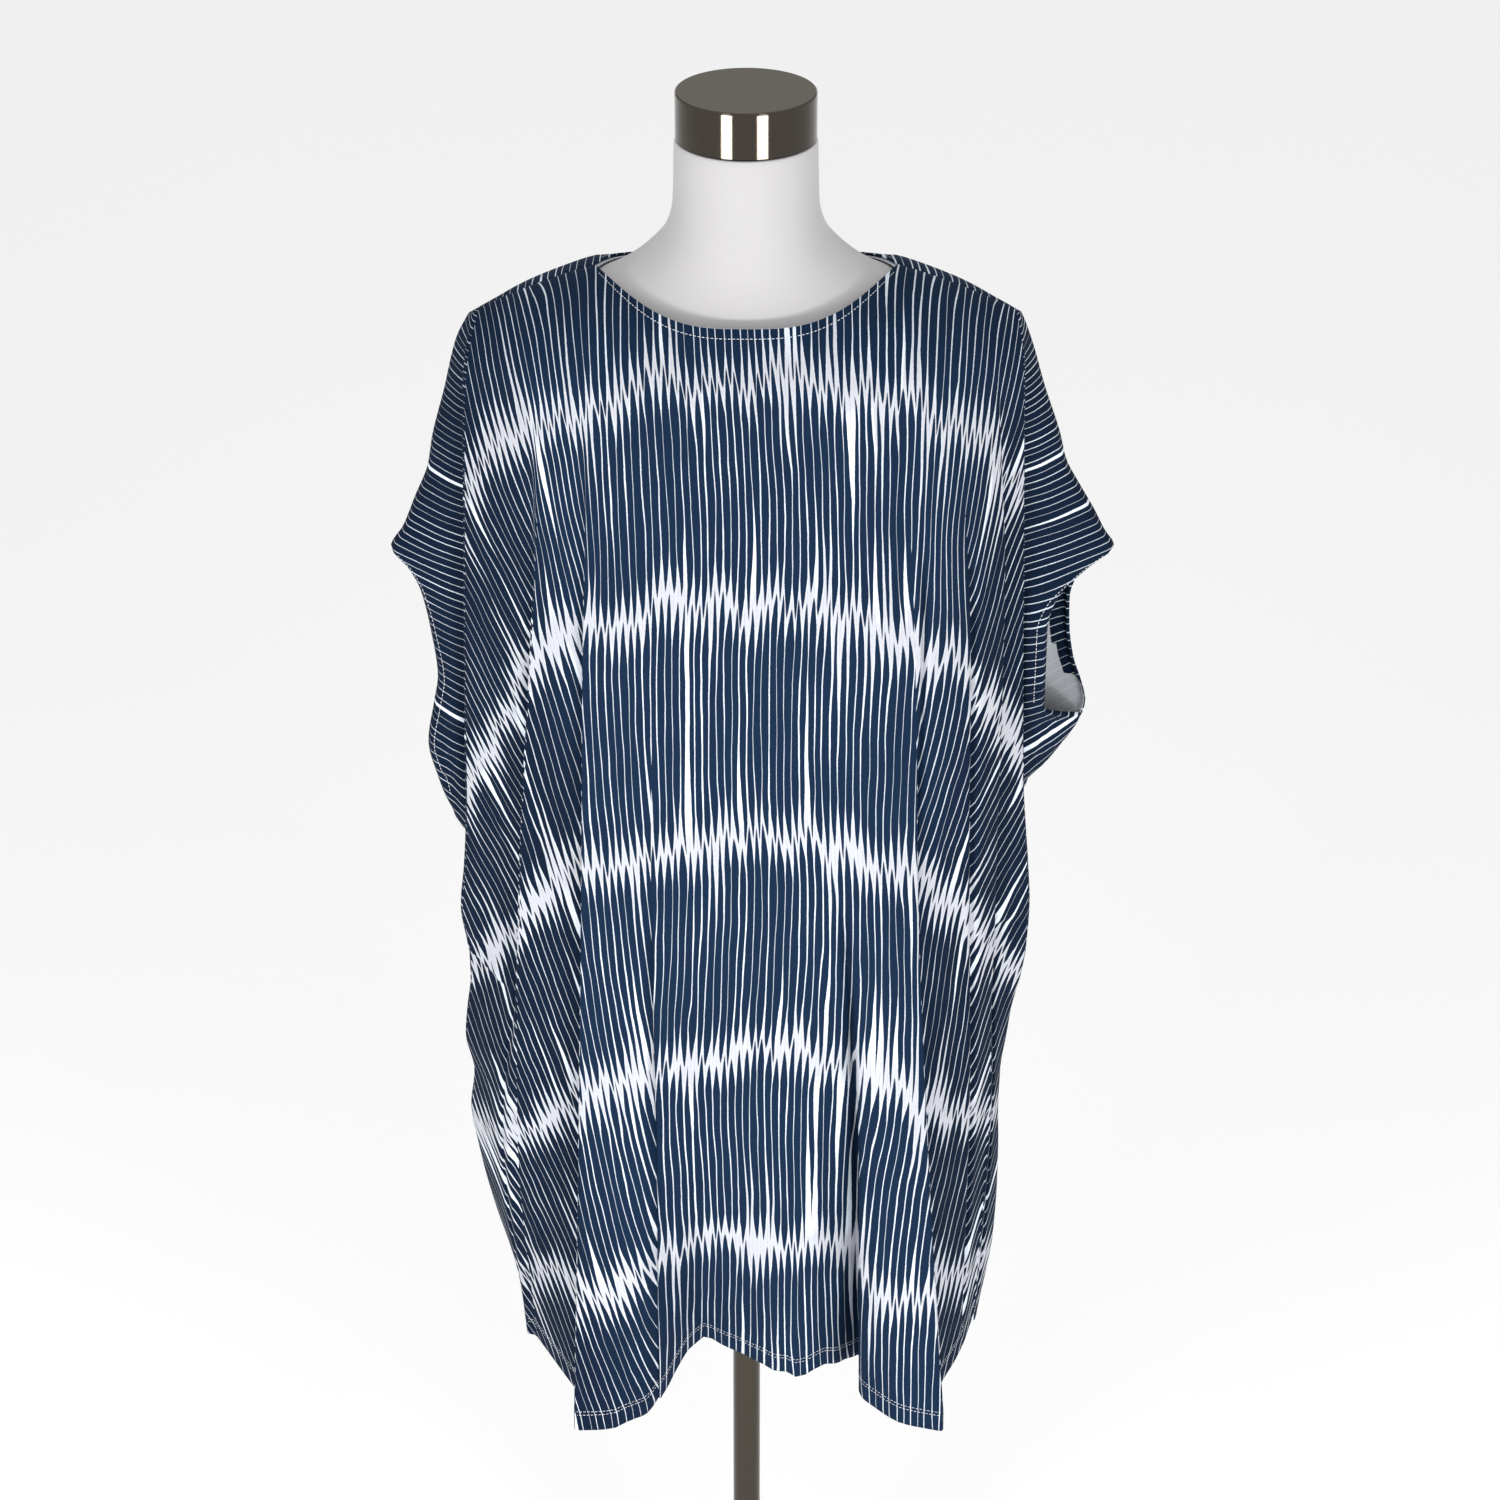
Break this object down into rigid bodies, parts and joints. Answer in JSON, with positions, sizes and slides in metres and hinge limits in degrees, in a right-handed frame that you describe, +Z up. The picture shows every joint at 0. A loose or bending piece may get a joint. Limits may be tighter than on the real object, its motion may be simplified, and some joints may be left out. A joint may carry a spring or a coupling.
{
  "type": "jersey dress on a dress form",
  "caption": "Oversized jersey dress with cut-on dolman sleeves and a wide neckline, hanging in folds on a limbless dress form on a pole stand.",
  "frame": {"origin": "centre of the stand base's underside, on the floor", "axes": "+Z up along the pole, -Y towards the front of the dress, +X to the right as seen from the front"},
  "size_m": [0.5757, 0.3068, 1.6],
  "materials": {
    "printed_jersey": "soft matte viscose jersey, printed with uneven navy and white stripes",
    "binding_jersey": "wrong side of the same jersey, pale",
    "white_jersey": "smooth white jersey cover over a firm form",
    "brushed_metal": "brushed nickel-bronze, circular brushing",
    "base_metal": "satin metal"
  },
  "bodies": {
    "root": {"front": "printed_jersey", "back": "printed_jersey", "neck_binding": "binding_jersey", "form_body": "white_jersey", "form_cap": "brushed_metal", "stand_pole": "brushed_metal", "stand_base": "base_metal"}
  },
  "joints": []
}
